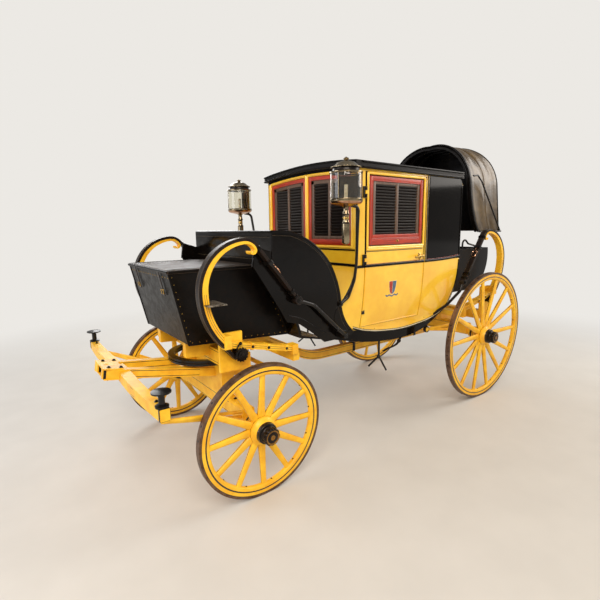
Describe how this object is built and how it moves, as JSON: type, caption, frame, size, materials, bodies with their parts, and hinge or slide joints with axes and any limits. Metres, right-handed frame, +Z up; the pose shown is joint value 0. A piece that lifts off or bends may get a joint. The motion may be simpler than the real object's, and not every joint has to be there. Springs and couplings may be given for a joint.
{
  "type": "travelling coach",
  "caption": "Closed horse-drawn travelling coach hung on C-springs, with a hooded rumble seat behind and a boot in front.",
  "frame": {"origin": "on the floor under the middle of the overall length, on the centre plane", "axes": "+X towards the front of the coach, +Y to its left, +Z up"},
  "size_m": [3.9999, 1.7594, 2.545],
  "materials": {
    "black_iron": "painted",
    "black_lacquer": "gloss",
    "black_leather": "dressed, gloss",
    "brass": "polished",
    "brown_leather": "buttoned",
    "hood_leather": "old, dry on the folds",
    "iron_tyre": "worn",
    "lamp_glass": "clear",
    "lamp_metal": "silvered",
    "red_wood": "varnished",
    "yellow_paint": "gloss coach paint",
    "yellow_wood": "painted gloss"
  },
  "bodies": {
    "coach": {"body_irons": "black_iron", "boot": "black_lacquer", "dash": "black_leather", "door_hinges": "black_iron", "drag_forks": "black_iron", "floor": "yellow_wood", "front_shutters": "red_wood", "front_springs": "yellow_paint", "front_thoroughbraces": "black_leather", "front_wall": "yellow_wood", "hood": "hood_leather", "hood_irons": "black_iron", "lamp_glasses": "lamp_glass", "lamp_irons": "black_iron", "lamps": "lamp_metal", "left_side": "yellow_wood", "perch": "yellow_wood", "rear_axle": "yellow_wood", "rear_springs": "yellow_paint", "rear_stays": "yellow_paint", "rear_thoroughbraces": "black_leather", "rear_wall": "black_lacquer", "right_side": "yellow_wood", "rockers": "yellow_wood", "roof": "black_lacquer", "rumble_cushion": "brown_leather", "rumble_irons": "black_iron", "rumble_rails": "black_iron", "rumble_seat": "black_leather", "seat_bench": "black_lacquer", "seat_cushions": "brown_leather", "spring_steps": "black_iron", "transom": "yellow_wood", "upper_ring": "black_iron", "windlasses": "black_iron"},
    "fore_carriage": {"front_axle": "yellow_wood", "lower_ring": "black_iron", "futchells": "yellow_wood", "splinter_bar": "yellow_wood", "roller_bolts": "black_iron", "fore_stays": "yellow_paint"},
    "boot_lid": {"boot_lid": "black_leather"},
    "front_left_wheel": {"front_left_tyre": "iron_tyre", "front_left_wheel": "yellow_wood", "front_left_hub_cap": "black_iron"},
    "front_right_wheel": {"front_right_tyre": "iron_tyre", "front_right_wheel": "yellow_wood", "front_right_hub_cap": "black_iron"},
    "rear_left_wheel": {"rear_left_tyre": "iron_tyre", "rear_left_wheel": "yellow_wood", "rear_left_hub_cap": "black_iron"},
    "rear_right_wheel": {"rear_right_tyre": "iron_tyre", "rear_right_wheel": "yellow_wood", "rear_right_hub_cap": "black_iron"},
    "left_door": {"left_door": "yellow_wood", "left_door_shutter": "red_wood", "left_door_handle": "brass"},
    "right_door": {"right_door": "yellow_wood", "right_door_shutter": "red_wood", "right_door_handle": "brass"}
  },
  "joints": [
    {"name": "steering", "type": "hinge", "parent": "coach", "child": "fore_carriage", "pos_m": [1.221, 0, 0.79], "axis": [0, 0, 1], "range_deg": [-20, 20]},
    {"name": "front_left_spin", "type": "hinge", "parent": "fore_carriage", "child": "front_left_wheel", "pos_m": [1.221, 0.76, 0.44044], "axis": [0, 0.9995, -0.0314], "continuous": true},
    {"name": "front_right_spin", "type": "hinge", "parent": "fore_carriage", "child": "front_right_wheel", "pos_m": [1.221, -0.76, 0.44044], "axis": [0, 0.9995, 0.0314], "continuous": true},
    {"name": "rear_left_spin", "type": "hinge", "parent": "coach", "child": "rear_left_wheel", "pos_m": [-1.369, 0.76, 0.62735], "axis": [0, 0.9995, -0.0314], "continuous": true},
    {"name": "rear_right_spin", "type": "hinge", "parent": "coach", "child": "rear_right_wheel", "pos_m": [-1.369, -0.76, 0.62735], "axis": [0, 0.9995, 0.0314], "continuous": true},
    {"name": "left_door_hinge", "type": "hinge", "parent": "coach", "child": "left_door", "pos_m": [0.166, 0.609, 1.5], "axis": [0, 0, 1], "range_deg": [-85, 0]},
    {"name": "right_door_hinge", "type": "hinge", "parent": "coach", "child": "right_door", "pos_m": [0.166, -0.609, 1.5], "axis": [0, 0, 1], "range_deg": [0, 85]},
    {"name": "boot_lid_hinge", "type": "hinge", "parent": "coach", "child": "boot_lid", "pos_m": [1.041, 0, 1.46], "axis": [0, 1, 0], "range_deg": [-80, 0]}
  ]
}
